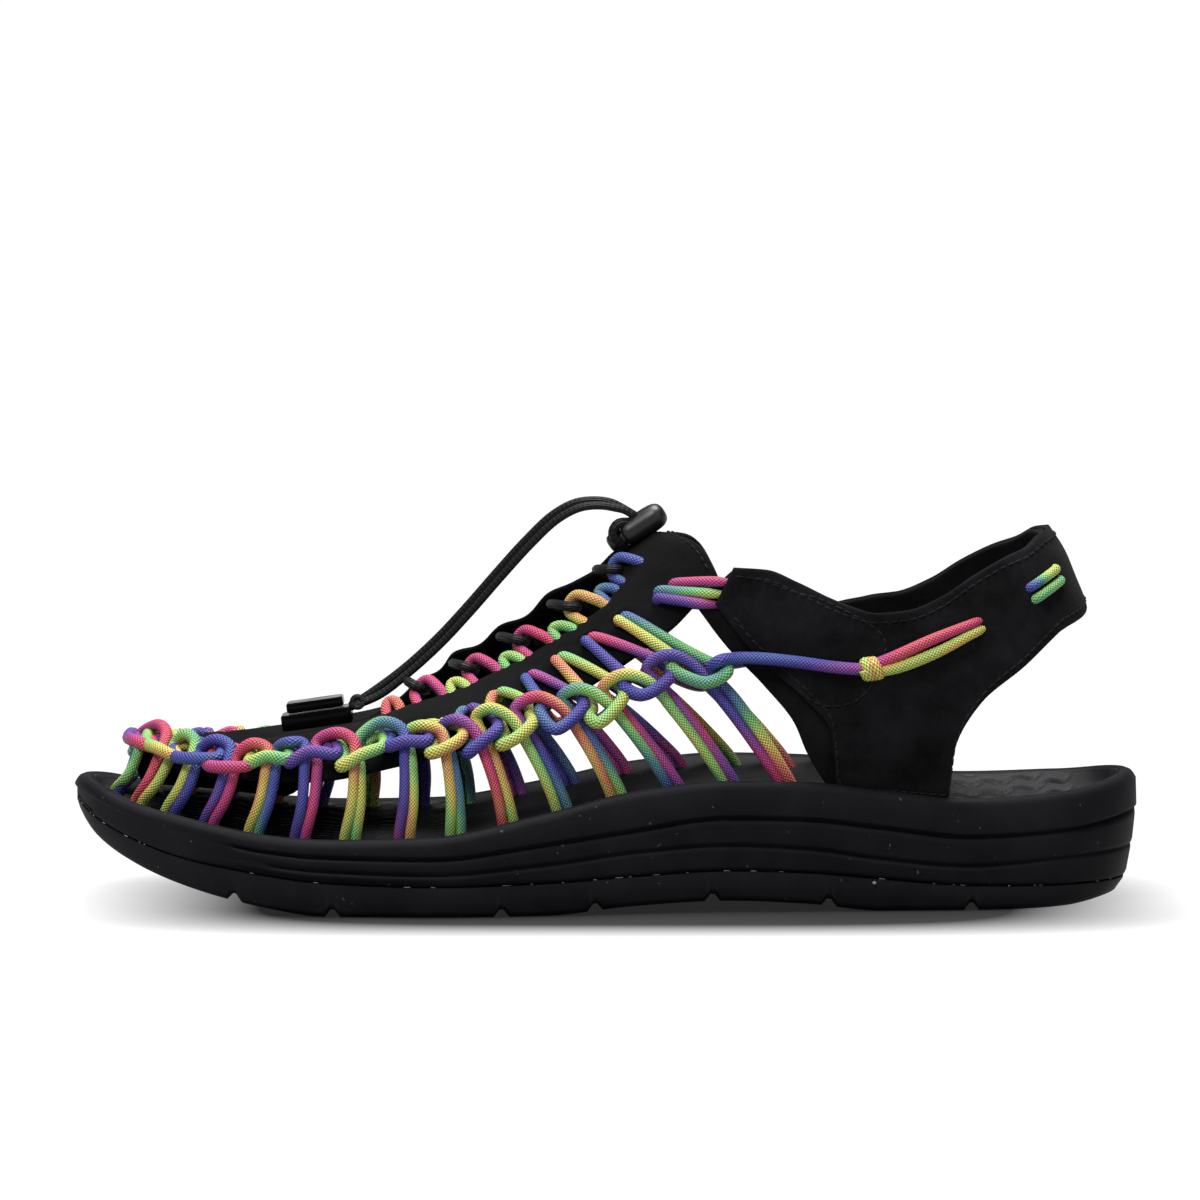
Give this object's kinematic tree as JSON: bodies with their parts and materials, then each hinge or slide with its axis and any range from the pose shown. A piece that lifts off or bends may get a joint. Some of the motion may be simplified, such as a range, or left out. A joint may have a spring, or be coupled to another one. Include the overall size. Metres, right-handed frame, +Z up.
{
  "type": "woven cord sandal",
  "caption": "Left sandal with a cupped rubber sole, an upper knotted from rainbow-dyed round cord, black suede vamp panel and heel strap, and an elastic lace with a push-button lock.",
  "frame": {"origin": "centre of the bounding box at the floor, without the free lace", "axes": "+X from toe to heel along the sole, +Y to the inner side of the foot, +Z up from the floor"},
  "size_m": [0.28, 0.0971, 0.1047],
  "materials": {
    "outsole_rubber": "matte moulded rubber",
    "midsole_foam": "matte moulded foam",
    "footbed": "matte with wavy grooves",
    "suede": "napped microfibre suede",
    "lining": "smooth knit lining",
    "cord": "braided, dyed in many bright colours along its length",
    "elastic": "ribbed black elastic",
    "lace_end": "glossy",
    "lock": "matte, rubbery"
  },
  "bodies": {
    "sandal": {"outsole": "outsole_rubber", "midsole": "midsole_foam", "insole": "footbed", "vamp_panel": "suede", "heel_lining": "lining", "heel_strap": "suede", "cord_upper": "cord", "heel_cord_lateral": "cord", "heel_cord_medial": "cord", "heel_cord_back_upper": "cord", "heel_cord_back_lower": "cord", "collar_cord_lateral_upper": "cord", "collar_cord_lateral_middle": "cord", "collar_cord_lateral_lower": "cord", "collar_cord_medial_upper": "cord", "collar_cord_medial_middle": "cord", "collar_cord_medial_lower": "cord", "lace_crossings": "elastic", "lace_loop_near": "elastic", "lace_loop_far": "elastic", "lace_end_body": "lace_end", "lace_end_slab": "lace_end", "lock_barrel": "lock"},
    "lock_button": {"lock_button": "lock"}
  },
  "joints": [
    {"name": "lock_press", "type": "slide", "parent": "sandal", "child": "lock_button", "axis": [0.8387, 0, 0.5446], "range_m": [0, 0.0025], "stiffness_N_per_m": 200}
  ]
}
